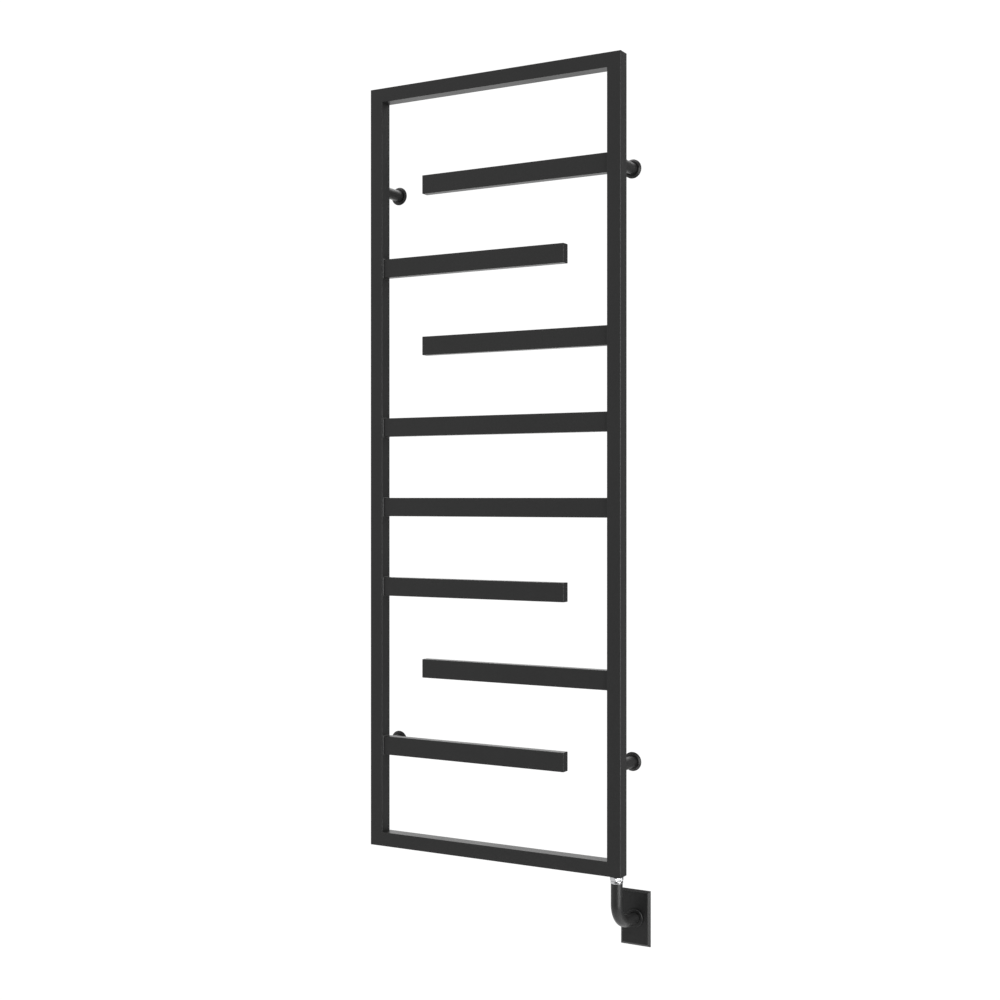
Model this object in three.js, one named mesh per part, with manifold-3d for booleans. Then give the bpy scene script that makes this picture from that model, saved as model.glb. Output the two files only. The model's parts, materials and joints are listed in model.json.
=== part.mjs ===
// Wall-hung towel warmer rack: a rectangular frame of square tube that carries eight flat bars, hung
// on four round brackets and fed through an elbow conduit. Millimetres, +Z up, front towards -Y.
// The origin is on the wall, at the centre of the four brackets.

import * as THREE from 'three';
import Module from 'manifold-3d';
import { mergeVertices } from 'three/addons/utils/BufferGeometryUtils.js';

// ---------------------------------------------------------------- driving dimensions

const FRAME_WIDTH = 600;
const FRAME_HEIGHT = 1650;
const TUBE_SIZE = 30;
const TUBE_WALL = 1.5;
const TUBE_CORNER = 1;
const STANDOFF = 62;            // back of the frame to the wall
const MITRE_GAP = 0.1;          // each mitred end stops this far short of the mitre plane
const CLEARANCE = 0.3;          // between pieces that would touch face to face
const OVERCUT = 2;              // how far a cutting tool runs past the face that it cuts

const BAR_HEIGHT = 40;
const BAR_DEPTH = 20;
const BAR_WALL = 1.5;
const BAR_CORNER = 1.5;
const BAR_COUNT = 8;
const BAR_SPAN = 1212.5;        // centre of the lowest bar to centre of the highest
const FREE_END_GAP = 100;       // free end of a short bar to the far post
const CAP_THICKNESS = 1.5;
const PORT_RADIUS = 7;          // hole between a bar and its post

const STEM_RADIUS = 12;
const BRACKET_SPAN = 1214;      // lower brackets to upper brackets
const BASE_RADIUS = 15;
const BASE_THICKNESS = 2.2;
const SPIGOT_RADIUS = 7;
const SPIGOT_LENGTH = 20;
const ROSETTE_RADIUS = 19.6;
const ROSETTE_DEPTH = 4.2;
const ROSETTE_SKIN = 1.2;
const ROSETTE_RIM_DEPTH = 1.4;  // depth of the rosette at its outer edge
const RUNNING_CLEARANCE = 0.1;
const SET_SCREW_RADIUS = 2.4;
const SET_SCREW_SOCKET = 2.5;   // across flats
const SET_SCREW_SOCKET_DEPTH = 2.4;
const SET_SCREW_FROM_WALL = 14;
const WALL_SCREW_RADIUS = 2.3;
const WALL_SCREW_HEAD_RADIUS = 4.2;
const WALL_SCREW_HEAD_HEIGHT = 3;
const WALL_SCREW_SOCKET = 4;    // across flats
const WALL_SCREW_SOCKET_DEPTH = 1.8;
const HEAD_SEAT_FROM_WALL = 12;

const HEX_ACROSS_FLATS = 25;
const HEX_HEIGHT = 8;
const HEX_TURN = Math.PI / 12;  // where the hexagon stops when the thread is tight
const SEAL_HEIGHT = 1;
const SEAL_RADIUS = 11.5;
const THREAD_RADIUS = 9.9;
const THREAD_LENGTH = 13;
const BOSS_RADIUS = 12.4;
const BOSS_HEIGHT = 12;
const ROD_RADIUS = 5;
const ROD_LENGTH = 500;
const ROD_TIP = 3;              // height of the rod's domed tip
const PLUG_HEIGHT = 10;
const PLUG_SOCKET_ACROSS_FLATS = 10;
const PLUG_SOCKET_DEPTH = 5;

const CONDUIT_RADIUS = 12;
const CONDUIT_WALL = 2;
const CONDUIT_BEND = 43.5;      // radius of the bend's centre line
const CONDUIT_DROP = 100;       // frame's underside to the conduit's horizontal axis
const OUTLET_OFFSET = 7.5;      // the wall box lies this far to the right of the post's axis
const LOCK_RING_RADIUS = 12.8;
const LOCK_RING_HEIGHT = 5;
const LOCK_RING_EDGE = 0.6;
const NECK_LENGTH = 11;         // swivel neck of the heater head, below its hexagon
const LEAD_RADIUS = 1.3;
const LEAD_OFFSET = 4;

const PLATE_WIDTH = 66;
const PLATE_HEIGHT = 114.3;
const PLATE_DEPTH = 6;
const PLATE_BEVEL = 4.7;
const PLATE_SKIN = 1.5;
const ESCUTCHEON_RADIUS = 18.5;
const ESCUTCHEON_HEIGHT = 4;
const ESCUTCHEON_EDGE = 1.5;
const STRAP_WIDTH = 44;
const STRAP_HEIGHT = 102;
const STRAP_THICKNESS = 1.5;
const STRAP_CORNER = 4;
const STRAP_SCREW_SPAN = 83.3;
const STRAP_SCREW_RADIUS = 1.75;
const STRAP_SCREW_HEAD_RADIUS = 3.5;
const STRAP_SCREW_HEAD_HEIGHT = 2;
const STRAP_SCREW_CROWN = 0.7;   // height of the head's sloping edge
const STRAP_SCREW_SLOT = 0.9;
const LOCKNUT_ACROSS_FLATS = 31;
const LOCKNUT_HEIGHT = 2.7;

const ROUND_SEGMENTS = 32;      // facets on stems, rosettes and conduit
const SMALL_SEGMENTS = 16;      // facets on screws and bores
const ARC_DIVISIONS = 1;        // a shape's arc has twice this many facets
const CONDUIT_STEPS = 16;
const LEAD_STEPS = 14;
const LEAD_SIDES = 8;

// ---------------------------------------------------------------- derived places

const HALF_WIDTH = FRAME_WIDTH / 2;
const HALF_HEIGHT = FRAME_HEIGHT / 2;
const POST_X = HALF_WIDTH - TUBE_SIZE / 2;
const INNER_X = HALF_WIDTH - TUBE_SIZE;
const FRAME_Y = -STANDOFF - TUBE_SIZE / 2;
const FRAME_BOTTOM = -HALF_HEIGHT;
const RAIL_Z = HALF_HEIGHT - TUBE_SIZE / 2;
const BAR_PITCH = BAR_SPAN / (BAR_COUNT - 1);
const CONDUIT_Z = FRAME_BOTTOM - CONDUIT_DROP;
const HEX_BOTTOM = FRAME_BOTTOM - SEAL_HEIGHT - HEX_HEIGHT;
const LOCK_RING_BOTTOM = HEX_BOTTOM - CLEARANCE - LOCK_RING_HEIGHT;
const CONDUIT_BORE = CONDUIT_RADIUS - CONDUIT_WALL;
const CONDUIT_HOLE = CONDUIT_RADIUS + 2 * RUNNING_CLEARANCE;
const OUTLET_X = POST_X + OUTLET_OFFSET;
const ELBOW_TURN = Math.atan2(OUTLET_OFFSET, -FRAME_Y);

// ---------------------------------------------------------------- materials

function finish(color, roughness, metalness) {
  return new THREE.MeshStandardMaterial({ color, roughness, metalness });
}

const BLACK_COAT = finish(0x1c1c1c, 0.45, 0.0);
const CHROME = finish(0xe6e6e6, 0.08, 1.0);
const STEEL = finish(0xa8a8a8, 0.35, 1.0);
const BRASS = finish(0xb08d4c, 0.35, 1.0);
const RUBBER = finish(0x161616, 0.8, 0.0);
const BLACK_LEAD = finish(0x101010, 0.5, 0.0);
const WHITE_LEAD = finish(0xe4e4e0, 0.5, 0.0);
const GREEN_LEAD = finish(0x2f7d3a, 0.5, 0.0);

// ---------------------------------------------------------------- joining and cutting

const wasm = await Module();
wasm.setup();

function mergedByPosition(geometry) {
  const bare = geometry.clone();
  bare.deleteAttribute('normal');
  bare.deleteAttribute('uv');
  return mergeVertices(bare, 1e-4);
}

function solid(geometry) {
  const merged = mergedByPosition(geometry);
  return new wasm.Manifold(new wasm.Mesh({
    numProp: 3,
    vertProperties: new Float32Array(merged.attributes.position.array),
    triVerts: new Uint32Array(merged.index.array),
  }));
}

function geometryOf(manifold) {
  const mesh = manifold.getMesh();
  const geometry = new THREE.BufferGeometry();
  geometry.setAttribute('position', new THREE.BufferAttribute(mesh.vertProperties, 3));
  geometry.setIndex(new THREE.BufferAttribute(mesh.triVerts, 1));
  geometry.computeVertexNormals();
  return geometry;
}

function cut(geometry, ...tools) {
  const body = tools.reduce((rest, tool) => rest.subtract(solid(tool)), solid(geometry));
  return geometryOf(body);
}

function join(geometry, ...others) {
  const body = others.reduce((whole, other) => whole.add(solid(other)), solid(geometry));
  return geometryOf(body);
}

// ---------------------------------------------------------------- basic shapes

function roundedRectangle(width, height, radius, target = new THREE.Shape()) {
  const x = width / 2 - radius;
  const y = height / 2 - radius;
  target.absarc(x, y, radius, 0, Math.PI / 2);
  target.absarc(-x, y, radius, Math.PI / 2, Math.PI);
  target.absarc(-x, -y, radius, Math.PI, Math.PI * 1.5);
  target.absarc(x, -y, radius, Math.PI * 1.5, Math.PI * 2);
  target.closePath();
  return target;
}

function extrude(shape, depth, curveSegments) {
  return new THREE.ExtrudeGeometry(shape, { depth, curveSegments, bevelEnabled: false });
}

// A rectangular tube along +Z, centred on the Z axis, from z = 0 to z = length.
function tube(width, height, wall, corner, length) {
  const shape = roundedRectangle(width, height, corner);
  const bore = roundedRectangle(width - 2 * wall, height - 2 * wall, corner / 2, new THREE.Path());
  shape.holes.push(bore);
  return extrude(shape, length, ARC_DIVISIONS);
}

function box(width, depth, height) {
  return new THREE.BoxGeometry(width, depth, height);
}

// A solid of revolution about Y. The profile is a closed loop, or starts and ends on the axis.
function turned(profile, segments = ROUND_SEGMENTS) {
  const points = profile.map(([radius, y]) => new THREE.Vector2(radius, y));
  const closed = profile[0][0] > 0;
  if (closed) {
    points.push(points[0].clone());
  }
  return new THREE.LatheGeometry(points, segments);
}

// The same about Z.
function turnedUpright(profile, segments = ROUND_SEGMENTS) {
  return turned(profile, segments).rotateX(Math.PI / 2);
}

// A hexagonal prism about Y, between y = low and y = high.
function hexagon(acrossFlats, low, high) {
  const radius = acrossFlats / Math.sqrt(3);
  const prism = new THREE.CylinderGeometry(radius, radius, high - low, 6);
  return prism.translate(0, (low + high) / 2, 0);
}

function rod(radius, low, high, segments = SMALL_SEGMENTS) {
  const cylinder = new THREE.CylinderGeometry(radius, radius, high - low, segments);
  return cylinder.translate(0, (low + high) / 2, 0);
}

function upright(geometry) {
  return geometry.rotateX(Math.PI / 2);
}

// ---------------------------------------------------------------- scene graph helpers

const rack = new THREE.Group();

function place(name, geometry, material, position = [0, 0, 0], parent = rack) {
  const mesh = new THREE.Mesh(geometry, material);
  mesh.name = name;
  mesh.position.set(...position);
  parent.add(mesh);
  return mesh;
}

// ---------------------------------------------------------------- bars

// Bars from the top down: the side of the post that carries the bar.
const BAR_SIDES = ['right', 'left', 'right', 'both', 'both', 'left', 'right', 'left'];

function barHeight(index) {
  return BAR_SPAN / 2 - index * BAR_PITCH;
}

function barsOn(side) {
  return BAR_SIDES.flatMap((fixed, index) => (fixed === side || fixed === 'both' ? [index] : []));
}

function addBar(index) {
  const fixed = BAR_SIDES[index];
  const full = 2 * INNER_X;
  const length = fixed === 'both' ? full : full - FREE_END_GAP - CAP_THICKNESS;
  const direction = fixed === 'left' ? 1 : -1;
  const start = fixed === 'left' ? -INNER_X : INNER_X;
  const end = start + direction * length;
  const low = Math.min(start, end);
  const bar = tube(BAR_HEIGHT, BAR_DEPTH, BAR_WALL, BAR_CORNER, length);
  bar.rotateY(Math.PI / 2);
  place(`bar_${index + 1}`, bar, BLACK_COAT, [low, FRAME_Y, barHeight(index)]);
  if (fixed === 'both') {
    return;
  }
  const cap = extrude(roundedRectangle(BAR_HEIGHT, BAR_DEPTH, BAR_CORNER), CAP_THICKNESS, ARC_DIVISIONS);
  cap.rotateY(Math.PI / 2);
  const capLow = Math.min(end, end + direction * CAP_THICKNESS);
  place(`bar_${index + 1}_end_cap`, cap, BLACK_COAT, [capLow, FRAME_Y, barHeight(index)]);
}

// ---------------------------------------------------------------- frame

// What a mitre takes off one end of an upright tube, whose outer side is its +X side where side is 1
// and its -X side where side is -1. z is the tube's end: the mitre runs inwards from its outer corner.
function mitreCutter(side, z) {
  const size = 4 * TUBE_SIZE;
  const end = Math.sign(z);
  const tilt = end > 0 ? Math.PI / 4 : 3 * Math.PI / 4;
  const cutter = box(size, size, size);
  cutter.translate(0, 0, size / 2);
  cutter.rotateY(-side * tilt);
  cutter.translate(side * TUBE_SIZE / 2, 0, z - end * MITRE_GAP * Math.SQRT2);
  return cutter;
}

function mitredTube(side, length) {
  const blank = tube(TUBE_SIZE, TUBE_SIZE, TUBE_WALL, TUBE_CORNER, length);
  blank.translate(0, 0, -length / 2);
  return cut(blank, mitreCutter(side, length / 2), mitreCutter(side, -length / 2));
}

function addPost(side) {
  const sign = side === 'left' ? -1 : 1;
  const ports = barsOn(side).map((index) => {
    const port = rod(PORT_RADIUS, -2 * TUBE_WALL, 2 * TUBE_WALL);
    port.rotateZ(Math.PI / 2);
    return port.translate(-sign * (TUBE_SIZE / 2 - TUBE_WALL / 2), 0, barHeight(index));
  });
  const post = cut(mitredTube(sign, FRAME_HEIGHT), ...ports);
  place(`${side}_post`, post, BLACK_COAT, [sign * POST_X, FRAME_Y, 0]);
}

function addRail(name, sign) {
  const rail = mitredTube(sign, FRAME_WIDTH);
  rail.rotateY(-Math.PI / 2);
  const openings = [-POST_X, POST_X].map((x) => {
    const radius = THREAD_RADIUS + RUNNING_CLEARANCE;
    const opening = upright(rod(radius, -2 * TUBE_WALL, 2 * TUBE_WALL, ROUND_SEGMENTS));
    return opening.translate(x, 0, -TUBE_SIZE / 2);
  });
  const finished = sign < 0 ? cut(rail, ...openings) : rail;
  place(name, finished, BLACK_COAT, [0, FRAME_Y, sign * RAIL_Z]);
}

// ---------------------------------------------------------------- wall brackets

function stemGeometry() {
  const boreDepth = BASE_THICKNESS + SPIGOT_LENGTH + 2 * CLEARANCE;
  const boreRadius = SPIGOT_RADIUS + RUNNING_CLEARANCE;
  const foot = -BASE_THICKNESS - CLEARANCE;
  const stem = turned([
    [0, -STANDOFF],
    [STEM_RADIUS, -STANDOFF],
    [STEM_RADIUS, foot],
    [boreRadius, foot],
    [boreRadius, -boreDepth],
    [0, -boreDepth],
  ]);
  const screwHole = upright(rod(SET_SCREW_RADIUS + RUNNING_CLEARANCE, -STEM_RADIUS - OVERCUT, 0));
  return cut(stem, screwHole.translate(0, -SET_SCREW_FROM_WALL, 0));
}

function baseGeometry() {
  const spigotEnd = -BASE_THICKNESS - SPIGOT_LENGTH;
  const hole = WALL_SCREW_RADIUS + CLEARANCE;
  const counterbore = WALL_SCREW_HEAD_RADIUS + CLEARANCE;
  return turned([
    [hole, 0],
    [hole, -HEAD_SEAT_FROM_WALL],
    [counterbore, -HEAD_SEAT_FROM_WALL],
    [counterbore, spigotEnd],
    [SPIGOT_RADIUS, spigotEnd],
    [SPIGOT_RADIUS, -BASE_THICKNESS],
    [BASE_RADIUS, -BASE_THICKNESS],
    [BASE_RADIUS, 0],
  ]);
}

function rosetteGeometry() {
  const rim = BASE_RADIUS + CLEARANCE;
  const hole = STEM_RADIUS + RUNNING_CLEARANCE;
  return turned([
    [rim, 0],
    [rim, -ROSETTE_DEPTH + ROSETTE_SKIN],
    [hole, -ROSETTE_DEPTH + ROSETTE_SKIN],
    [hole, -ROSETTE_DEPTH],
    [rim + CLEARANCE, -ROSETTE_DEPTH],
    [ROSETTE_RADIUS, -ROSETTE_RIM_DEPTH],
    [ROSETTE_RADIUS, 0],
  ]);
}

function wallScrewGeometry() {
  const seat = -HEAD_SEAT_FROM_WALL - CLEARANCE;
  const top = seat - WALL_SCREW_HEAD_HEIGHT;
  const screw = turned([
    [0, top],
    [WALL_SCREW_HEAD_RADIUS, top],
    [WALL_SCREW_HEAD_RADIUS, seat],
    [WALL_SCREW_RADIUS, seat],
    [WALL_SCREW_RADIUS, -CLEARANCE],
    [0, -CLEARANCE],
  ], SMALL_SEGMENTS);
  return cut(screw, hexagon(WALL_SCREW_SOCKET, top - OVERCUT, top + WALL_SCREW_SOCKET_DEPTH));
}

// A set screw about Y: its outer end with the hexagon socket at y = 0, its tip at y = length.
function setScrewGeometry() {
  const length = STEM_RADIUS - SPIGOT_RADIUS - 2 * CLEARANCE;
  const blank = rod(SET_SCREW_RADIUS, 0, length);
  return cut(blank, hexagon(SET_SCREW_SOCKET, -OVERCUT, SET_SCREW_SOCKET_DEPTH));
}

function addBracket(side, level) {
  const name = `${level}_${side}`;
  const x = side === 'left' ? -POST_X : POST_X;
  const z = (level === 'upper' ? 1 : -1) * BRACKET_SPAN / 2;
  const bracket = new THREE.Group();
  bracket.position.set(x, 0, z);
  rack.add(bracket);
  place(`${name}_stem`, stemGeometry(), BLACK_COAT, [0, 0, 0], bracket);
  place(`${name}_wall_base`, baseGeometry(), STEEL, [0, 0, 0], bracket);
  place(`${name}_rosette`, rosetteGeometry(), BLACK_COAT, [0, 0, 0], bracket);
  place(`${name}_wall_screw`, wallScrewGeometry(), STEEL, [0, 0, 0], bracket);
  const setScrew = upright(setScrewGeometry());
  const outerEnd = -STEM_RADIUS + CLEARANCE;
  place(`${name}_set_screw`, setScrew, STEEL, [0, -SET_SCREW_FROM_WALL, outerEnd], bracket);
}

// ---------------------------------------------------------------- heater and fill plug

// A threaded boss inside the frame's corner, on the inner side of the bottom rail's lower wall.
function bossGeometry() {
  const low = FRAME_BOTTOM + TUBE_WALL + MITRE_GAP;
  const bore = THREAD_RADIUS + RUNNING_CLEARANCE;
  return turnedUpright([
    [bore, low],
    [BOSS_RADIUS, low],
    [BOSS_RADIUS, low + BOSS_HEIGHT],
    [bore, low + BOSS_HEIGHT],
  ]);
}

function heaterHeadGeometry() {
  const hexTop = FRAME_BOTTOM - SEAL_HEIGHT;
  const neckEnd = HEX_BOTTOM - NECK_LENGTH;
  const threadEnd = FRAME_BOTTOM + THREAD_LENGTH;
  const shank = upright(rod(THREAD_RADIUS, neckEnd, threadEnd, ROUND_SEGMENTS));
  const hexagonHead = upright(hexagon(HEX_ACROSS_FLATS, HEX_BOTTOM, hexTop));
  return join(shank, hexagonHead.rotateZ(HEX_TURN));
}

function sealGeometry() {
  const bore = THREAD_RADIUS + RUNNING_CLEARANCE;
  return turnedUpright([
    [bore, FRAME_BOTTOM - SEAL_HEIGHT],
    [SEAL_RADIUS, FRAME_BOTTOM - SEAL_HEIGHT],
    [SEAL_RADIUS, FRAME_BOTTOM],
    [bore, FRAME_BOTTOM],
  ]);
}

function heaterRodGeometry() {
  const low = FRAME_BOTTOM + THREAD_LENGTH + CLEARANCE;
  return turnedUpright([
    [0, low],
    [ROD_RADIUS, low],
    [ROD_RADIUS, low + ROD_LENGTH - ROD_TIP],
    [0, low + ROD_LENGTH],
  ], SMALL_SEGMENTS);
}

function fillPlugGeometry() {
  const plug = upright(rod(THREAD_RADIUS, FRAME_BOTTOM, FRAME_BOTTOM + PLUG_HEIGHT, ROUND_SEGMENTS));
  const socketTop = FRAME_BOTTOM + PLUG_SOCKET_DEPTH;
  return cut(plug, upright(hexagon(PLUG_SOCKET_ACROSS_FLATS, FRAME_BOTTOM - OVERCUT, socketTop)));
}

function addHeater() {
  place('heater_boss', bossGeometry(), STEEL, [POST_X, FRAME_Y, 0]);
  place('heater_head', heaterHeadGeometry(), CHROME, [POST_X, FRAME_Y, 0]);
  place('heater_seal', sealGeometry(), RUBBER, [POST_X, FRAME_Y, 0]);
  place('heater_rod', heaterRodGeometry(), STEEL, [POST_X, FRAME_Y, 0]);
  place('fill_boss', bossGeometry(), STEEL, [-POST_X, FRAME_Y, 0]);
  place('fill_plug', fillPlugGeometry(), BRASS, [-POST_X, FRAME_Y, 0]);
}

// ---------------------------------------------------------------- elbow conduit

// The conduit's centre line, or a line beside it: down the post's axis, round the bend and straight
// back for as long as reach, which counts from that axis. acrossX moves the line sideways, and
// towardsInside moves it to the inner side of the bend.
class ConduitLine extends THREE.Curve {
  constructor(top, reach, acrossX = 0, towardsInside = 0) {
    super();
    this.top = top;
    this.x = POST_X + acrossX;
    this.y = FRAME_Y + towardsInside;
    this.radius = CONDUIT_BEND - towardsInside;
    this.centreY = FRAME_Y + CONDUIT_BEND;
    this.centreZ = CONDUIT_Z + CONDUIT_BEND;
    this.down = top - this.centreZ;
    this.around = this.radius * Math.PI / 2;
    this.back = reach - CONDUIT_BEND;
  }

  getPoint(t, target = new THREE.Vector3()) {
    const distance = t * (this.down + this.around + this.back);
    if (distance < this.down) {
      return target.set(this.x, this.y, this.top - distance);
    }
    if (distance < this.down + this.around) {
      const turn = (distance - this.down) / this.radius;
      const y = this.centreY - this.radius * Math.cos(turn);
      const z = this.centreZ - this.radius * Math.sin(turn);
      return target.set(this.x, y, z);
    }
    const y = this.centreY + distance - this.down - this.around;
    return target.set(this.x, y, this.centreZ - this.radius);
  }
}

// How far back the turned run goes, so that its far end, which is halfWidth to each side of the
// conduit's axis, stops short of the wall by gap.
function runReach(halfWidth, gap) {
  return (-FRAME_Y - gap - halfWidth * Math.sin(ELBOW_TURN)) / Math.cos(ELBOW_TURN);
}

// Turns what is on the elbow about the post's axis, towards the wall box.
function towardsOutlet(geometry) {
  geometry.translate(-POST_X, -FRAME_Y, 0);
  geometry.rotateZ(-ELBOW_TURN);
  return geometry.translate(POST_X, FRAME_Y, 0);
}

// The hole that the conduit needs in a piece at the wall, between y = low and y = high.
function conduitHole(low, high, radius = CONDUIT_HOLE) {
  return rod(radius, low, high, ROUND_SEGMENTS).rotateZ(-ELBOW_TURN);
}

function conduitGeometry() {
  const ring = new THREE.Shape();
  ring.absarc(0, 0, CONDUIT_RADIUS, 0, Math.PI * 2);
  const bore = new THREE.Path();
  bore.absarc(0, 0, CONDUIT_BORE, 0, Math.PI * 2);
  ring.holes.push(bore);
  const line = new ConduitLine(LOCK_RING_BOTTOM - CLEARANCE / 3, runReach(CONDUIT_RADIUS, 0));
  const options = { extrudePath: line, steps: CONDUIT_STEPS, curveSegments: ROUND_SEGMENTS / 2 };
  return towardsOutlet(new THREE.ExtrudeGeometry(ring, options));
}

function leadGeometry(angle) {
  const section = new THREE.Shape();
  section.absarc(0, 0, LEAD_RADIUS, 0, Math.PI * 2);
  const top = HEX_BOTTOM - NECK_LENGTH - CLEARANCE;
  const reach = runReach(LEAD_OFFSET + LEAD_RADIUS, CLEARANCE);
  const line = new ConduitLine(top, reach, LEAD_OFFSET * Math.sin(angle), LEAD_OFFSET * Math.cos(angle));
  const options = { extrudePath: line, steps: LEAD_STEPS, curveSegments: LEAD_SIDES / 2 };
  return towardsOutlet(new THREE.ExtrudeGeometry(section, options));
}

function lockRingGeometry() {
  const top = LOCK_RING_BOTTOM + LOCK_RING_HEIGHT;
  return turnedUpright([
    [CONDUIT_BORE, LOCK_RING_BOTTOM],
    [LOCK_RING_RADIUS - LOCK_RING_EDGE, LOCK_RING_BOTTOM],
    [LOCK_RING_RADIUS, LOCK_RING_BOTTOM + LOCK_RING_EDGE],
    [LOCK_RING_RADIUS, top - LOCK_RING_EDGE],
    [LOCK_RING_RADIUS - LOCK_RING_EDGE, top],
    [CONDUIT_BORE, top],
  ]);
}

function strapGeometry() {
  const outline = roundedRectangle(STRAP_WIDTH, STRAP_HEIGHT, STRAP_CORNER);
  const blank = upright(extrude(outline, STRAP_THICKNESS, ARC_DIVISIONS));
  const holes = [conduitHole(-2 * STRAP_THICKNESS, STRAP_THICKNESS)];
  for (const z of [-STRAP_SCREW_SPAN / 2, STRAP_SCREW_SPAN / 2]) {
    const slot = rod(STRAP_SCREW_RADIUS + CLEARANCE, -2 * STRAP_THICKNESS, STRAP_THICKNESS);
    holes.push(slot.translate(0, 0, z));
  }
  return cut(blank, ...holes);
}

function strapScrewGeometry() {
  const seat = -STRAP_THICKNESS - CLEARANCE / 2;
  const top = seat - STRAP_SCREW_HEAD_HEIGHT;
  const screw = turned([
    [0, top],
    [STRAP_SCREW_HEAD_RADIUS - STRAP_SCREW_CROWN, top],
    [STRAP_SCREW_HEAD_RADIUS, top + STRAP_SCREW_CROWN],
    [STRAP_SCREW_HEAD_RADIUS, seat],
    [STRAP_SCREW_RADIUS, seat],
    [STRAP_SCREW_RADIUS, -CLEARANCE / 2],
    [0, -CLEARANCE / 2],
  ], SMALL_SEGMENTS);
  const slot = box(3 * STRAP_SCREW_HEAD_RADIUS, STRAP_SCREW_HEAD_HEIGHT, STRAP_SCREW_SLOT);
  return cut(screw, slot.translate(0, top, 0));
}

function locknutGeometry() {
  const low = -STRAP_THICKNESS - CLEARANCE / 2 - LOCKNUT_HEIGHT;
  const blank = hexagon(LOCKNUT_ACROSS_FLATS, low, low + LOCKNUT_HEIGHT);
  return cut(blank, conduitHole(low - OVERCUT, 0));
}

// A block with a bevel all round its front edge, its back at y = 0.
function bevelledBlock(width, height, depth, bevel) {
  const outline = [
    [-width / 2, 0],
    [-width / 2, -depth + bevel],
    [-width / 2 + bevel, -depth],
    [width / 2 - bevel, -depth],
    [width / 2, -depth + bevel],
    [width / 2, 0],
  ];
  const across = new THREE.Shape(outline.map(([x, y]) => new THREE.Vector2(x, y)));
  const long = extrude(across, height, 1).translate(0, 0, -height / 2);
  const shift = (height - width) / 2;
  const upDown = new THREE.Shape(outline.map(([x, y]) => new THREE.Vector2(
    x + Math.sign(x) * shift, y)));
  const wide = extrude(upDown, width, 1).translate(0, 0, -width / 2).rotateY(Math.PI / 2);
  return geometryOf(solid(long).intersect(solid(wide)));
}

function coverPlateGeometry() {
  const outer = bevelledBlock(PLATE_WIDTH, PLATE_HEIGHT, PLATE_DEPTH, PLATE_BEVEL);
  const inset = 2 * PLATE_SKIN;
  const innerBevel = PLATE_BEVEL - (2 - Math.SQRT2) * PLATE_SKIN;
  const hollow = bevelledBlock(PLATE_WIDTH - inset, PLATE_HEIGHT - inset,
    PLATE_DEPTH - PLATE_SKIN + OVERCUT, innerBevel);
  hollow.translate(0, OVERCUT, 0);
  return cut(outer, hollow, conduitHole(-2 * PLATE_DEPTH, PLATE_DEPTH));
}

function escutcheonGeometry() {
  const back = -PLATE_DEPTH;
  const front = back - ESCUTCHEON_HEIGHT;
  const disc = turned([
    [0, front],
    [ESCUTCHEON_RADIUS - ESCUTCHEON_EDGE, front],
    [ESCUTCHEON_RADIUS, front + ESCUTCHEON_EDGE],
    [ESCUTCHEON_RADIUS, back],
    [0, back],
  ]);
  return cut(disc, conduitHole(front - OVERCUT, back + OVERCUT, CONDUIT_RADIUS + RUNNING_CLEARANCE));
}

function addConduit() {
  const leads = { live_lead: BLACK_LEAD, neutral_lead: WHITE_LEAD, earth_lead: GREEN_LEAD };
  const outlet = [OUTLET_X, 0, CONDUIT_Z];
  place('lock_ring', lockRingGeometry(), CHROME, [POST_X, FRAME_Y, 0]);
  place('elbow_conduit', conduitGeometry(), BLACK_COAT);
  Object.entries(leads).forEach(([name, material], index) => {
    place(name, leadGeometry(index * Math.PI * 2 / 3), material);
  });
  place('wall_strap', strapGeometry(), STEEL, outlet);
  place('conduit_locknut', locknutGeometry(), STEEL, outlet);
  place('cover_plate', coverPlateGeometry(), BLACK_COAT, outlet);
  place('escutcheon', escutcheonGeometry(), BLACK_COAT, outlet);
  const screws = { upper: STRAP_SCREW_SPAN / 2, lower: -STRAP_SCREW_SPAN / 2 };
  for (const [level, offset] of Object.entries(screws)) {
    place(`${level}_strap_screw`, strapScrewGeometry(), BRASS, [OUTLET_X, 0, CONDUIT_Z + offset]);
  }
}

// ---------------------------------------------------------------- the rack

addPost('left');
addPost('right');
addRail('top_rail', 1);
addRail('bottom_rail', -1);
BAR_SIDES.forEach((side, index) => addBar(index));
for (const level of ['upper', 'lower']) {
  for (const side of ['left', 'right']) {
    addBracket(side, level);
  }
}
addHeater();
addConduit();

export default rack;
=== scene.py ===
"""Wall-hung towel warmer rack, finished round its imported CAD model. Metres, +Z up, front towards -Y.

The CAD model fixes every place and size. Each piece is built here again as a finer mesh, from the box of
the CAD node that it stands for, and rides on that node's body. Only the heater's rod and the two threaded
bosses, which are closed inside the tubes, are shown as the CAD model has them.
"""

import json
import math

import bmesh
import bpy
from mathutils import Matrix, Vector

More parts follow.
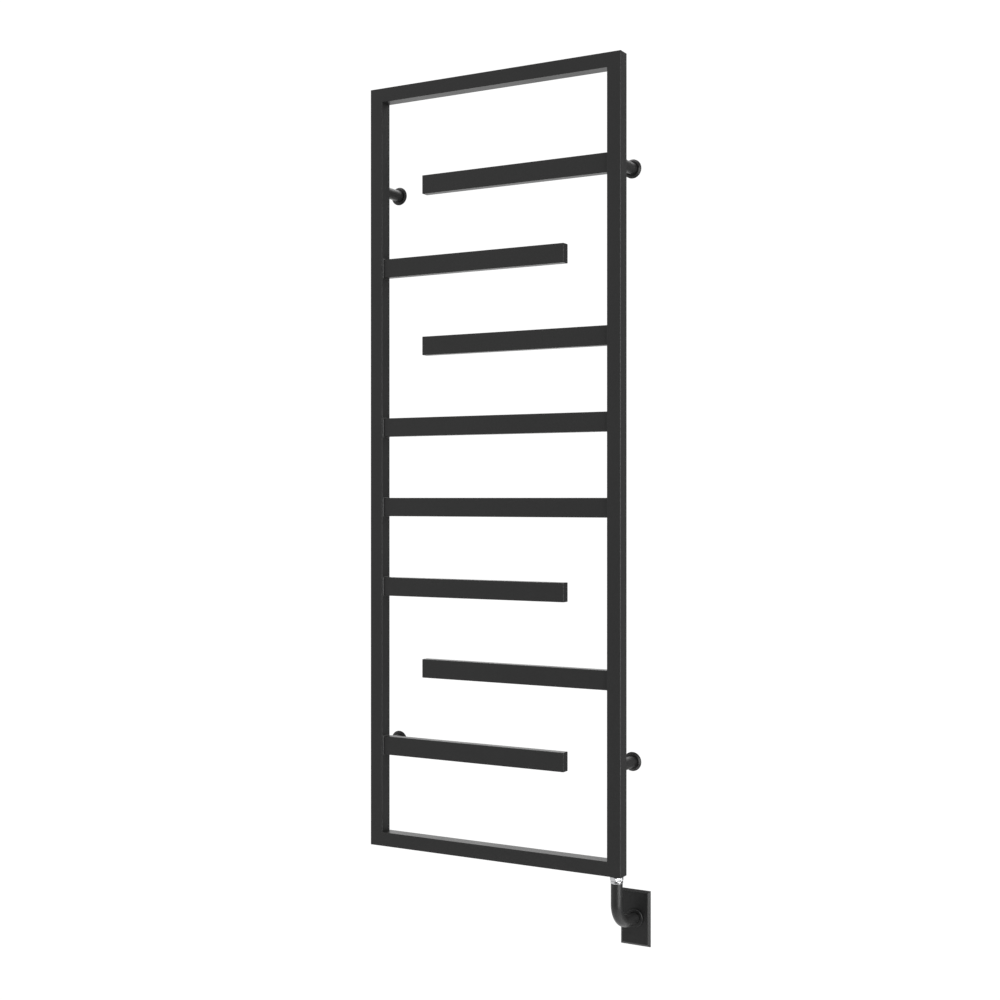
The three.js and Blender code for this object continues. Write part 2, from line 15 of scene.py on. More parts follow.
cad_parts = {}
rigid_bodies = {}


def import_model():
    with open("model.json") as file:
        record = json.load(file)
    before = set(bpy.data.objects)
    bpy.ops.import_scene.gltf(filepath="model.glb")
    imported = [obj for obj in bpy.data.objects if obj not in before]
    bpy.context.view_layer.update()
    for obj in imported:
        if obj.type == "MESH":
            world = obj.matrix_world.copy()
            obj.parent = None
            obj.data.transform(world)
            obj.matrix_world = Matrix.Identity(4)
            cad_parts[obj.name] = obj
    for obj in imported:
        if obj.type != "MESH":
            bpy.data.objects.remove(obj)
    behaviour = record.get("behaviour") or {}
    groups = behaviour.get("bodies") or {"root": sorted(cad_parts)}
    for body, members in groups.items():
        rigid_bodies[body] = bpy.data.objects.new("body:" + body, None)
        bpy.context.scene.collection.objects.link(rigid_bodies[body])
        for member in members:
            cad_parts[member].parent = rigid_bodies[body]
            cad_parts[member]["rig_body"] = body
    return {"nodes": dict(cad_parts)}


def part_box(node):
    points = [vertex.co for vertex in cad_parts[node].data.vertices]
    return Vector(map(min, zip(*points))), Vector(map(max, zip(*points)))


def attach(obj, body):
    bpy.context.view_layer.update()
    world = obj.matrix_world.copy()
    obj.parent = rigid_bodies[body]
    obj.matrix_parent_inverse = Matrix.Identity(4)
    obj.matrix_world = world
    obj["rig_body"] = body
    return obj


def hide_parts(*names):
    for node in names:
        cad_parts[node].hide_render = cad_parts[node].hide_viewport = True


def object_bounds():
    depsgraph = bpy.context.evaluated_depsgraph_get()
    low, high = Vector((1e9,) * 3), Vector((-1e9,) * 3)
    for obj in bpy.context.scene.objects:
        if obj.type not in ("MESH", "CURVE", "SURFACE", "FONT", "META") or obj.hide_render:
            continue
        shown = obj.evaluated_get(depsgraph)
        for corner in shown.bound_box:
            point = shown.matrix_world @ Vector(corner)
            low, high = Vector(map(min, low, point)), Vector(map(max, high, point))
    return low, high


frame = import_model()
cad_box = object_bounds()

# ---------------------------------------------------------------- sizes that a node's box doesn't give

MM = 0.001
FULL_TURN = 2 * math.pi
QUARTER_TURN = FULL_TURN / 4
HALF_SIDE = FULL_TURN / 12  # from a hexagon's corner to the middle of its side, seen from its axis
X = 0  # the places of x and z in a vector
Z = 2

TUBE_WALL = 1.5 * MM
TUBE_CORNER = 1.0 * MM
BAR_WALL = 1.5 * MM
BAR_CORNER = 1.5 * MM
CAP_EDGE = 0.9 * MM
WELD_LEG = 2.2 * MM
WELD_DEPTH = 0.3 * MM  # how far a bead's back lies inside the metal
WELD_RIPPLE = 0.07  # share of the leg
WELD_RIPPLE_LENGTH = 2.2 * MM
WELD_SPACING = WELD_RIPPLE_LENGTH / 5  # between a bead's cross-sections

SPIGOT_RADIUS = 7.0 * MM
SPIGOT_CLEARANCE = 0.1 * MM
BASE_THICKNESS = 2.2 * MM
COUNTERBORE_RADIUS = 4.5 * MM
WALL_HOLE_RADIUS = 2.6 * MM
WALL_SCREW_RADIUS = 2.3 * MM
WALL_SCREW_HEAD = 3.0 * MM
WALL_SCREW_SOCKET = 4.0 * MM
WALL_SCREW_SOCKET_DEPTH = 0.6 * WALL_SCREW_HEAD
SET_SCREW_SOCKET = 2.5 * MM
SET_SCREW_HOLE_CLEARANCE = 0.1 * MM
SOCKET_POINT = 0.25  # height of the cone under a socket, as a share of the socket's width
ROSETTE_STEP_RADIUS = 15.6 * MM
ROSETTE_SKIN = 1.2 * MM
ROSETTE_RIM = 1.4 * MM
ROSETTE_INNER_RADIUS = 15.3 * MM
ROSETTE_HOLE_RADIUS = 12.1 * MM

HEX_ACROSS_FLATS = 25.0 * MM
HEX_TURN = math.radians(-75)  # direction of one corner, from +X
HEX_CHAMFER = math.radians(30)
HEX_FACE = 0.985  # radius of a chamfered hexagon's round face, as a share of half its width
THREAD_RADIUS = 9.9 * MM
THREAD_PITCH = 1.8 * MM
THREAD_DEPTH = 0.7 * MM
THREAD_CLEARANCE = 0.1 * MM
THREAD_ROOT = 0.1  # where a thread's root and its flat crest lie, as shares of the pitch
THREAD_CREST = (0.45, 0.65)
LOCK_RING_EDGE = 1.0 * MM
PLUG_SOCKET = 10.0 * MM
PLUG_SOCKET_DEPTH = 5.0 * MM
CONDUIT_WALL = 2.0 * MM
CONDUIT_BEND = 43.5 * MM
CONDUIT_HOLE_CLEARANCE = 0.2 * MM
LEAD_RADIUS = 1.3 * MM
LEAD_OFFSET = 4.0 * MM  # from the conduit's axis, the three leads a third of a turn apart
PLATE_BEVEL = 4.7 * MM
PLATE_SKIN = 1.5 * MM
PLATE_LEVEL = 2.0 * MM  # level strip inside the bevel
PLATE_CORNER = 1.2 * MM
PLATE_CORNER_LOSS = 0.5  # how much smaller the corner's radius gets inwards, as a share of the way in
PLATE_LEAST_CORNER = 0.2 * MM
ESCUTCHEON_EDGE = 0.8 * MM
STRAP_CORNER = 4.0 * MM
STRAP_SCREW_RADIUS = 1.75 * MM
STRAP_SCREW_HEAD = 2.0 * MM
STRAP_SCREW_CROWN = 0.55  # share of the head's radius that is nearly flat
STRAP_SCREW_CROWN_DROP = 0.1 * MM
STRAP_SCREW_EDGE_DROP = 0.9 * MM
STRAP_SCREW_SLOT = 0.9 * MM
STRAP_SCREW_SLOT_DEPTH = 1.0 * MM
STRAP_SCREW_SLOT_CORNER = 0.1 * MM
LOCKNUT_ACROSS_FLATS = 31.0 * MM
LOCKNUT_CHAMFER = math.radians(12)

FINE_EDGE = 0.3 * MM
SOFT_EDGE = 0.6 * MM
EDGE_SHARE = 0.45  # the most of a side that the rounding of one corner takes
SHARP_ANGLE = math.radians(27)  # faces that meet at more than this keep a crisp edge
CORNER_STEPS = 6
EDGE_STEPS = 3
ROUND_SEGMENTS = 96
SMALL_SEGMENTS = 48
BEND_STEPS = 40
CUT_OVERLAP = 1.0 * MM  # how far a cutter reaches past the length that it has to cut
NO_LENGTH = 1e-9  # metres, a shorter step round an outline is left out

# ---------------------------------------------------------------- materials

NOISE_RANGE = (0.30, 0.70)  # where nearly all of a noise's values lie
BLEND_RANGE = (0.35, 0.65)  # where one colour runs into the next


class Nodes:
    """A material with its Principled shader, and short calls for the textures that feed it."""

    def __init__(self, name):
        self.material = bpy.data.materials.new(name)
        self.material.use_nodes = True
        self.tree = self.material.node_tree
        self.shader = self.tree.nodes["Principled BSDF"]
        self.place = self.tree.nodes.new("ShaderNodeTexCoord").outputs["Object"]

    def link(self, source, target):
        self.tree.links.new(source, target)

    def stretched(self, scale):
        """The place on the object, scaled along each axis."""
        node = self.tree.nodes.new("ShaderNodeMapping")
        node.inputs["Scale"].default_value = scale
        self.link(self.place, node.inputs["Vector"])
        return node.outputs["Vector"]

    def noise(self, scale, detail=2.0, roughness=0.5, place=None):
        node = self.tree.nodes.new("ShaderNodeTexNoise")
        node.inputs["Scale"].default_value = scale
        node.inputs["Detail"].default_value = detail
        node.inputs["Roughness"].default_value = roughness
        self.link(place or self.place, node.inputs["Vector"])
        return node.outputs["Fac"]

    def spread(self, source, low, high):
        """Maps a noise's usual range to low..high."""
        node = self.tree.nodes.new("ShaderNodeMapRange")
        node.inputs["From Min"].default_value = NOISE_RANGE[0]
        node.inputs["From Max"].default_value = NOISE_RANGE[1]
        node.inputs["To Min"].default_value = low
        node.inputs["To Max"].default_value = high
        self.link(source, node.inputs["Value"])
        return node.outputs["Result"]

    def colours(self, source, first, second):
        """Runs from one colour to another over a noise's middle range."""
        node = self.tree.nodes.new("ShaderNodeValToRGB")
        for element, position, colour in zip(node.color_ramp.elements, BLEND_RANGE, (first, second)):
            element.position = position
            element.color = (*colour, 1)
        self.link(source, node.inputs["Fac"])
        return node.outputs["Color"]

    def bump(self, source, strength, distance, below=None):
        node = self.tree.nodes.new("ShaderNodeBump")
        node.inputs["Strength"].default_value = strength
        node.inputs["Distance"].default_value = distance
        self.link(source, node.inputs["Height"])
        if below is not None:
            self.link(below, node.inputs["Normal"])
        return node.outputs["Normal"]

    def finish(self, colour, roughness, normal, **sockets):
        self.link(colour, self.shader.inputs["Base Color"])
        self.link(roughness, self.shader.inputs["Roughness"])
        self.link(normal, self.shader.inputs["Normal"])
        for name, value in sockets.items():
            self.shader.inputs[name.replace("_", " ")].default_value = value
        return self.material


def grey(value):
    return (value, value, value)


def powder_coat(name, dark, light, roughnesses, specular):
    """Satin black powder coat: orange peel about 2 mm across, a fine grain on it, and faint clouding."""
    nodes = Nodes(name)
    clouds = nodes.noise(scale=7.0, detail=3.0)
    peel = nodes.noise(scale=520.0, detail=1.0)
    grain = nodes.noise(scale=2600.0, detail=1.0)
    colour = nodes.colours(nodes.noise(scale=900.0, detail=2.0), grey(dark), grey(light))
    roughness = nodes.spread(clouds, *roughnesses)
    normal = nodes.bump(peel, strength=0.10, distance=0.25 * MM)
    normal = nodes.bump(grain, strength=0.12, distance=0.06 * MM, below=normal)
    return nodes.finish(colour, roughness, normal, Specular_IOR_Level=specular)


def chrome():
    """Bright chrome plate, with faint waviness and polishing marks round the part."""
    nodes = Nodes("bright_chrome")
    wave = nodes.noise(scale=60.0, detail=1.0)
    marks = nodes.noise(scale=700.0, detail=3.0, place=nodes.stretched((0.2, 0.2, 3.0)))
    colour = nodes.colours(wave, (0.61, 0.62, 0.63), (0.67, 0.67, 0.68))
    roughness = nodes.spread(marks, low=0.04, high=0.10)
    normal = nodes.bump(marks, strength=0.03, distance=0.05 * MM)
    return nodes.finish(colour, roughness, normal, Metallic=1.0)


def zinc_steel():
    """Zinc-plated steel: bluish grey spangle with drawn lines."""
    nodes = Nodes("zinc_steel")
    spangle = nodes.noise(scale=450.0, detail=2.0)
    lines = nodes.noise(scale=900.0, detail=3.0, place=nodes.stretched((0.3, 3.0, 0.3)))
    colour = nodes.colours(spangle, (0.42, 0.44, 0.47), (0.58, 0.59, 0.60))
    roughness = nodes.spread(lines, low=0.26, high=0.42)
    normal = nodes.bump(lines, strength=0.10, distance=0.05 * MM)
    return nodes.finish(colour, roughness, normal, Metallic=1.0)


def stainless_steel():
    """Dull stainless steel of the heater's sheath, drawn along its length."""
    nodes = Nodes("stainless_steel")
    lines = nodes.noise(scale=1200.0, detail=2.0, place=nodes.stretched((1.0, 1.0, 0.05)))
    patches = nodes.noise(scale=40.0, detail=2.0)
    colour = nodes.colours(patches, (0.46, 0.44, 0.41), (0.56, 0.55, 0.53))
    roughness = nodes.spread(lines, low=0.28, high=0.45)
    normal = nodes.bump(lines, strength=0.12, distance=0.04 * MM)
    return nodes.finish(colour, roughness, normal, Metallic=1.0)


def turned_brass():
    """Turned brass with fine tool marks and a little tarnish."""
    nodes = Nodes("turned_brass")
    marks = nodes.noise(scale=1500.0, detail=2.0, place=nodes.stretched((0.3, 0.3, 2.0)))
    tarnish = nodes.noise(scale=120.0, detail=3.0)
    colour = nodes.colours(tarnish, (0.44, 0.30, 0.12), (0.66, 0.47, 0.20))
    roughness = nodes.spread(marks, low=0.24, high=0.40)
    normal = nodes.bump(marks, strength=0.10, distance=0.04 * MM)
    return nodes.finish(colour, roughness, normal, Metallic=1.0)


def black_rubber():
    nodes = Nodes("black_rubber")
    grain = nodes.noise(scale=1400.0, detail=3.0)
    colour = nodes.colours(grain, grey(0.008), grey(0.016))
    roughness = nodes.spread(nodes.noise(scale=80.0), low=0.70, high=0.86)
    normal = nodes.bump(grain, strength=0.25, distance=0.08 * MM)
    return nodes.finish(colour, roughness, normal)


def lead_insulation(name, dark, light):
    """Extruded PVC insulation, slightly wavy along the lead."""
    nodes = Nodes(name)
    drawn = nodes.noise(scale=500.0, detail=2.0)
    colour = nodes.colours(nodes.noise(scale=150.0), dark, light)
    roughness = nodes.spread(drawn, low=0.36, high=0.50)
    normal = nodes.bump(drawn, strength=0.10, distance=0.05 * MM)
    return nodes.finish(colour, roughness, normal)


def pale_floor():
    nodes = Nodes("pale_floor")
    patches = nodes.noise(scale=1.5, detail=3.0)
    colour = nodes.colours(patches, grey(0.87), grey(0.90))
    roughness = nodes.spread(patches, low=0.75, high=0.85)
    normal = nodes.bump(nodes.noise(scale=300.0), strength=0.02, distance=0.2 * MM)
    return nodes.finish(colour, roughness, normal, Specular_IOR_Level=0.2)


# Each finish is a material and the record's slot that it belongs to.
COAT = (
    powder_coat("black_powder_coat", dark=0.006, light=0.011, roughnesses=(0.36, 0.44), specular=0.45),
    "black_coat",
)
PLATE_COAT = (
    powder_coat("plate_powder_coat", dark=0.004, light=0.008, roughnesses=(0.40, 0.48), specular=0.38),
    "black_coat",
)
CHROME = (chrome(), "chrome")
ZINC = (zinc_steel(), "steel")
STAINLESS = (stainless_steel(), "steel")
BRASS = (turned_brass(), "brass")
RUBBER = (black_rubber(), "rubber")
LEADS = {
    "live_lead": (lead_insulation("black_insulation", grey(0.010), grey(0.016)), "lead_black"),
    "neutral_lead": (lead_insulation("white_insulation", grey(0.70), grey(0.78)), "lead_white"),
    "earth_lead": (
        lead_insulation("green_insulation", (0.03, 0.20, 0.05), (0.05, 0.26, 0.07)),
        "lead_green",
    ),
}

# ---------------------------------------------------------------- mesh building


def bridge(bm, first, second):
    """Faces between two closed rings of vertices. A ring of one vertex is a point on the axis."""
    count = max(len(first), len(second))
    for here in range(count):
        there = (here + 1) % count
        corners = [first[here % len(first)], first[there % len(first)]]
        corners += [second[there % len(second)], second[here % len(second)]]
        bm.faces.new(list(dict.fromkeys(corners)))


def lofted(rings, closed=False):
    """A closed mesh through rings of points. closed joins the last ring to the first; else the ends are
    capped where they aren't points."""
    bm = bmesh.new()
    made = [[bm.verts.new(point) for point in points] for points in rings]
    for first, second in zip(made, made[1:]):
        bridge(bm, first, second)
    if closed:
        bridge(bm, made[-1], made[0])
    else:
        for end in (made[0], made[-1]):
            if len(end) > 1:
                bm.faces.new(end)
    bmesh.ops.recalc_face_normals(bm, faces=bm.faces)
    return bm


def rounded_outline(width, height, radius, steps=CORNER_STEPS):
    """A rectangle with round corners, as (across, up) points anticlockwise."""
    points = []
    for quarter, (side, level) in enumerate(((1, 1), (-1, 1), (-1, -1), (1, -1))):
        for step in range(steps + 1):
            angle = QUARTER_TURN * (quarter + step / steps)
            across = side * (width / 2 - radius) + radius * math.cos(angle)
            up = level * (height / 2 - radius) + radius * math.sin(angle)
            points.append((across, up))
    return points


def circle(radius, count):
    """A circle's (across, up) points, spaced to pair with a rounded outline of as many points."""
    angles = [FULL_TURN * (index + 0.5) / count for index in range(count)]
    return [(radius * math.cos(angle), radius * math.sin(angle)) for angle in angles]


def circle_from(turn, radius, count=ROUND_SEGMENTS):
    """A circle's (across, up) points, the first of them at turn, to pair with a hexagon's."""
    angles = [FULL_TURN * index / count + turn for index in range(count)]
    return [(radius * math.cos(angle), radius * math.sin(angle)) for angle in angles]


def hexagon(across_flats, turn=0.0, count=SMALL_SEGMENTS):
    """A hexagon's (across, up) points, its first corner at turn and the others a sixth of a turn on."""
    points = []
    for index in range(count):
        angle = FULL_TURN * index / count
        from_corner = (angle + HALF_SIDE) % (2 * HALF_SIDE) - HALF_SIDE
        radius = across_flats / 2 / math.cos(HALF_SIDE - abs(from_corner))
        points.append((radius * math.cos(angle + turn), radius * math.sin(angle + turn)))
    return points


def softened(profile, radius, closed=False, steps=EDGE_STEPS):
    """The same profile with its corners rounded. The ends of an open one stay as they are."""
    corners = [Vector(point) for point in profile]
    points = []
    for index, corner in enumerate(corners):
        before = corners[index - 1] - corner
        after = corners[(index + 1) % len(corners)] - corner
        if not closed and index in (0, len(corners) - 1):
            points.append(corner)
            continue
        reach = min(radius, EDGE_SHARE * before.length, EDGE_SHARE * after.length)
        start = corner + before.normalized() * reach
        end = corner + after.normalized() * reach
        for step in range(steps + 1):
            t = step / steps
            points.append(start * (1 - t) ** 2 + corner * 2 * t * (1 - t) + end * t**2)
    return [tuple(point) for point in points]


def on_x(y, z):
    return lambda across, up, along: Vector((along, y + across, z + up))


def on_y(x, z):
    return lambda across, up, along: Vector((x + across, along, z + up))


def on_z(x, y):
    return lambda across, up, along: Vector((x + across, y + up, along))


def ring(outline, place, along):
    return [place(across, up, along) for across, up in outline]


def turned_rings(profile, place, segments=ROUND_SEGMENTS):
    """Rings round an axis, from (radius, along) points. A radius of 0 is a point on the axis."""
    rings = []
    for radius, along in profile:
        outline = [(0, 0)] if radius == 0 else circle(radius, segments)
        rings.append(ring(outline, place, along))
    return rings


def turned(profile, place, closed=False, segments=ROUND_SEGMENTS):
    return lofted(turned_rings(profile, place, segments), closed)


def plug(radius, start, end, place):
    """A plain cylinder that a round hole is cut with."""
    profile = [(0, start), (radius, start), (radius, end), (0, end)]
    return turned(profile, place, segments=SMALL_SEGMENTS)


def mark_edges(mesh):
    """Smooth faces, with a crisp edge where two meet at more than SHARP_ANGLE."""
    bm = bmesh.new()
    bm.from_mesh(mesh)
    for face in bm.faces:
        face.smooth = True
    for edge in bm.edges:
        edge.smooth = edge.calc_face_angle(0) < SHARP_ANGLE
    bm.to_mesh(mesh)
    bm.free()


def apply_modifiers(made):
    bpy.context.view_layer.update()
    graph = bpy.context.evaluated_depsgraph_get()
    final = bpy.data.meshes.new_from_object(made.evaluated_get(graph), depsgraph=graph)
    final.name = made.name
    made.modifiers.clear()
    made.data = final


def new_object(name, bm):
    mesh = bpy.data.meshes.new(name)
    bm.to_mesh(mesh)
    bm.free()
    made = bpy.data.objects.new(name, mesh)
    bpy.context.scene.collection.objects.link(made)
    return made


def drill(made, cutters):
    """Takes the cutters, which are closed meshes, out of a piece."""
    tools = [new_object("cutter", cutter) for cutter in cutters]
    for tool in tools:
        modifier = made.modifiers.new("drill", "BOOLEAN")
        modifier.operation = "DIFFERENCE"
        modifier.solver = "EXACT"
        modifier.object = tool
    apply_modifiers(made)
    for tool in tools:
        bpy.data.objects.remove(tool)


def piece(name, bm, finish, *nodes, body=None, cutters=()):
    """A piece of the object: its mesh, edges, material and body. The CAD nodes that it stands for are
    hidden.
    """
    material, slot = finish
    made = new_object(name, bm)
    if cutters:
        drill(made, cutters)
    mark_edges(made.data)
    made.modifiers.new("flat_faces", "WEIGHTED_NORMAL").keep_sharp = True
    apply_modifiers(made)
    made.data.materials.clear()
    made.data.materials.append(material)
    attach(made, body or frame["nodes"][nodes[0]]["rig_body"])
    if nodes:
        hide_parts(*nodes)
    return made


def middle(node):
    low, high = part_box(node)
    return (low + high) / 2


# ---------------------------------------------------------------- frame


def hollow(width, height, wall, corner):
    """The outer and inner outlines of a rectangular tube."""
    outer = rounded_outline(width, height, corner)
    inner = rounded_outline(width - 2 * wall, height - 2 * wall, corner / 2)
    return outer, inner


def mitred_mesh(node, width_axis, outside, low_end, high_end):
    """A tube that is mitred at both ends, so that it meets its neighbours along one line. width_axis is X
    on a post and Z on a rail, and outside is where on that axis the frame's outer side lies."""
    low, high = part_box(node)
    centre = (low + high) / 2
    length_axis = Z if width_axis == X else X
    outer, inner = hollow(high[width_axis] - low[width_axis], high.y - low.y, TUBE_WALL, TUBE_CORNER)
    rings = []
    for outline, ends in ((outer, (1, -1)), (inner, (-1, 1))):
        for end in ends:
            points = []
            for across, depth in outline:
                width = centre[width_axis] + across
                inset = abs(outside - width)
                point = Vector((0, centre.y + depth, 0))
                point[width_axis] = width
                point[length_axis] = high_end - inset if end > 0 else low_end + inset
                points.append(point)
            rings.append(points)
    return lofted(rings, closed=True)


def threaded_opening(node):
    """What a fitting's thread needs cut out of the bottom rail's lower wall."""
    centre = middle(node)
    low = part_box("bottom_rail")[0].z
    radius = THREAD_RADIUS + THREAD_CLEARANCE
    return plug(radius, low - TUBE_WALL, low + 2 * TUBE_WALL, on_z(centre.x, centre.y))


def build_frame():
    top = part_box("top_rail")[1].z
    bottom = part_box("bottom_rail")[0].z
    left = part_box("left_post")[0].x
    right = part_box("right_post")[1].x
    piece("post_left", mitred_mesh("left_post", X, left, bottom, top), COAT, "left_post")
    piece("post_right", mitred_mesh("right_post", X, right, bottom, top), COAT, "right_post")
    piece("rail_top", mitred_mesh("top_rail", Z, top, left, right), COAT, "top_rail")
    openings = [threaded_opening("fill_plug"), threaded_opening("heater_head")]
    lower = mitred_mesh("bottom_rail", Z, bottom, left, right)
    piece("rail_bottom", lower, COAT, "bottom_rail", cutters=openings)


# ---------------------------------------------------------------- bars


def bar_mesh(node):
    low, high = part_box(node)
    centre = (low + high) / 2
    place = on_x(centre.y, centre.z)
    outer, inner = hollow(high.y - low.y, high.z - low.z, BAR_WALL, BAR_CORNER)
    rings = [ring(outer, place, low.x), ring(outer, place, high.x)]
    rings += [ring(inner, place, high.x), ring(inner, place, low.x)]
    return lofted(rings, closed=True)


def cap_mesh(node, towards):
    """A bar's closing plate, with a round edge on its outer side."""
    low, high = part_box(node)
    centre = (low + high) / 2
    place = on_x(centre.y, centre.z)
    inside, outside = (low.x, high.x) if towards > 0 else (high.x, low.x)
    width, height = high.y - low.y, high.z - low.z
    rings = [ring(rounded_outline(width, height, BAR_CORNER), place, inside)]
    steps = 2 * EDGE_STEPS
    for step in range(steps + 1):
        angle = QUARTER_TURN * step / steps
        inset = CAP_EDGE * (1 - math.cos(angle))
        along = outside - towards * CAP_EDGE * (1 - math.sin(angle))
        outline = rounded_outline(width - 2 * inset, height - 2 * inset, BAR_CORNER - inset)
        rings.append(ring(outline, place, along))
    return lofted(rings)


def bead_outline(width, height, radius):
    """A rounded rectangle as (point, outward direction, distance round it), evenly stepped."""
    found = []
    walked = 0.0
    corners = rounded_outline(width, height, radius)
    for index, here in enumerate(corners):
        start, end = Vector(here), Vector(corners[(index + 1) % len(corners)])
        length = (end - start).length
        if length < NO_LENGTH:
            continue
        outwards = Vector((end.y - start.y, start.x - end.x)) / length
        parts = max(1, round(length / WELD_SPACING))
        for part in range(parts):
            share = (part + 0.5) / parts
            found.append((start.lerp(end, share), outwards, walked + share * length))
        walked += length
    return found


def bead_mesh(outline, place, root, towards):
    """A concave fillet weld round a piece. root is where the piece meets the metal that it stands on."""
    section = [(-WELD_DEPTH, -WELD_DEPTH), (1.0, -WELD_DEPTH), (1.0, 0.0)]
    steps = 2 * EDGE_STEPS
    for step in range(1, steps):
        turn = QUARTER_TURN * step / steps
        section.append((1 - math.sin(turn), 1 - math.cos(turn)))
    section += [(0.0, 1.0), (-WELD_DEPTH, 1.0)]
    rings = []
    for out, along in section:
        points = []
        for point, outwards, walked in outline:
            ripple = 1 + WELD_RIPPLE * math.sin(FULL_TURN * walked / WELD_RIPPLE_LENGTH)
            reach = WELD_LEG * ripple
            offset = out * reach if out > 0 else out
            distance = along * reach if along > 0 else along
            spot = point + outwards * offset
            points.append(place(spot.x, spot.y, root + towards * distance))
        rings.append(points)
    return lofted(rings, closed=True)


def build_bars():
    left_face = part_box("left_post")[1].x
    right_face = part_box("right_post")[0].x
    bars = sorted(name for name in frame["nodes"] if name.startswith("bar_") and name[4:].isdigit())
    for node in bars:
        low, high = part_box(node)
        centre = (low + high) / 2
        number = node[4:]
        piece(f"bar_tube_{number}", bar_mesh(node), COAT, node)
        place = on_x(centre.y, centre.z)
        outline = bead_outline(high.y - low.y, high.z - low.z, BAR_CORNER)
        sides = (("left", left_face, low.x, 1), ("right", right_face, high.x, -1))
        for side, face, end, towards in sides:
            if abs(end - face) < MM:
                bead = bead_mesh(outline, place, face, towards)
                piece(f"bar_weld_{number}_{side}", bead, COAT, body="rack")
            else:
                cap = cap_mesh(f"{node}_end_cap", -towards)
                piece(f"bar_cap_{number}", cap, COAT, f"{node}_end_cap")


# ---------------------------------------------------------------- wall brackets


def stem_mesh(name):
    low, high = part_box(f"{name}_stem")
    x, z = middle(f"{name}_stem").xz
    radius = (high.x - low.x) / 2
    bore = SPIGOT_RADIUS + SPIGOT_CLEARANCE
    bore_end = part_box(f"{name}_wall_base")[0].y - 2 * FINE_EDGE
    profile = [(0, low.y), (radius, low.y), (radius, high.y), (bore, high.y), (bore, bore_end)]
    profile.append((0, bore_end))
    return turned(softened(profile, SOFT_EDGE), on_y(x, z))


def set_screw_hole(name):
    low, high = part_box(f"{name}_set_screw")
    centre = (low + high) / 2
    radius = (high.x - low.x) / 2 + SET_SCREW_HOLE_CLEARANCE
    return plug(radius, low.z - CUT_OVERLAP, high.z + CUT_OVERLAP, on_z(centre.x, centre.y))


def socket_screw(shape, socket, depth, place):
    """A screw from (radius, along) points that start at its socket end, with a hexagon socket in it."""
    face = shape[0][1]
    inwards = math.copysign(1, shape[-1][1] - face)
    hole = hexagon(socket)
    floor = face + inwards * depth
    rings = [ring([(0, 0)], place, floor + inwards * SOCKET_POINT * socket)]
    rings.append(ring(hole, place, floor))
    rings.append(ring(hole, place, face + inwards * FINE_EDGE / 2))
    rings.append(ring(hexagon(socket + FINE_EDGE), place, face))
    for radius, along in shape:
        outline = [(0, 0)] if radius == 0 else circle_from(0.0, radius, SMALL_SEGMENTS)
        rings.append(ring(outline, place, along))
    return lofted(rings)


def set_screw_mesh(name):
    low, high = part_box(f"{name}_set_screw")
    centre = (low + high) / 2
    radius = (high.x - low.x) / 2
    shape = [(radius - FINE_EDGE, low.z), (radius, low.z + FINE_EDGE), (radius, high.z - SOFT_EDGE)]
    shape += [(radius - SOFT_EDGE, high.z), (radius / 2, high.z), (0, high.z - SOFT_EDGE)]
    return socket_screw(shape, SET_SCREW_SOCKET, SET_SCREW_SOCKET, on_z(centre.x, centre.y))


def wall_screw_mesh(name):
    low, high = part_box(f"{name}_wall_screw")
    x, z = middle(f"{name}_wall_screw").xz
    head = (high.x - low.x) / 2
    seat = low.y + WALL_SCREW_HEAD
    shape = [(head - FINE_EDGE, low.y), (head, low.y + FINE_EDGE), (head, seat)]
    shape += [(WALL_SCREW_RADIUS, seat), (WALL_SCREW_RADIUS, high.y - FINE_EDGE)]
    shape += [(WALL_SCREW_RADIUS - FINE_EDGE, high.y), (0, high.y)]
    return socket_screw(shape, WALL_SCREW_SOCKET, WALL_SCREW_SOCKET_DEPTH, on_y(x, z))


def wall_base_mesh(name):
    low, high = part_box(f"{name}_wall_base")
    x, z = middle(f"{name}_wall_base").xz
    flange = (high.x - low.x) / 2
    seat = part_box(f"{name}_wall_screw")[0].y + WALL_SCREW_HEAD + FINE_EDGE
    front = high.y - BASE_THICKNESS
    profile = [(WALL_HOLE_RADIUS, high.y), (WALL_HOLE_RADIUS, seat), (COUNTERBORE_RADIUS, seat)]
    profile += [(COUNTERBORE_RADIUS, low.y), (SPIGOT_RADIUS, low.y), (SPIGOT_RADIUS, front)]
    profile += [(flange, front), (flange, high.y)]
    return turned(softened(profile, FINE_EDGE, closed=True), on_y(x, z), closed=True)


def rosette_mesh(name):
    """A cover ring: a raised middle round the stem, and a thin rim that slopes to the wall."""
    low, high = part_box(f"{name}_rosette")
    x, z = middle(f"{name}_rosette").xz
    rim = (high.x - low.x) / 2
    profile = [(ROSETTE_INNER_RADIUS, high.y), (ROSETTE_INNER_RADIUS, low.y + ROSETTE_SKIN)]
    profile += [(ROSETTE_HOLE_RADIUS, low.y + ROSETTE_SKIN), (ROSETTE_HOLE_RADIUS, low.y)]
    profile += [(ROSETTE_STEP_RADIUS, low.y), (rim, high.y - ROSETTE_RIM), (rim, high.y)]
    return turned(softened(profile, FINE_EDGE, closed=True), on_y(x, z), closed=True)


def round_bead_outline(radius):
    """A circle as bead_outline() gives a rectangle."""
    count = round(FULL_TURN * radius / WELD_SPACING)
    found = []
    for index in range(count):
        angle = FULL_TURN * index / count
        outwards = Vector((math.cos(angle), math.sin(angle)))
        found.append((outwards * radius, outwards, angle * radius))
    return found


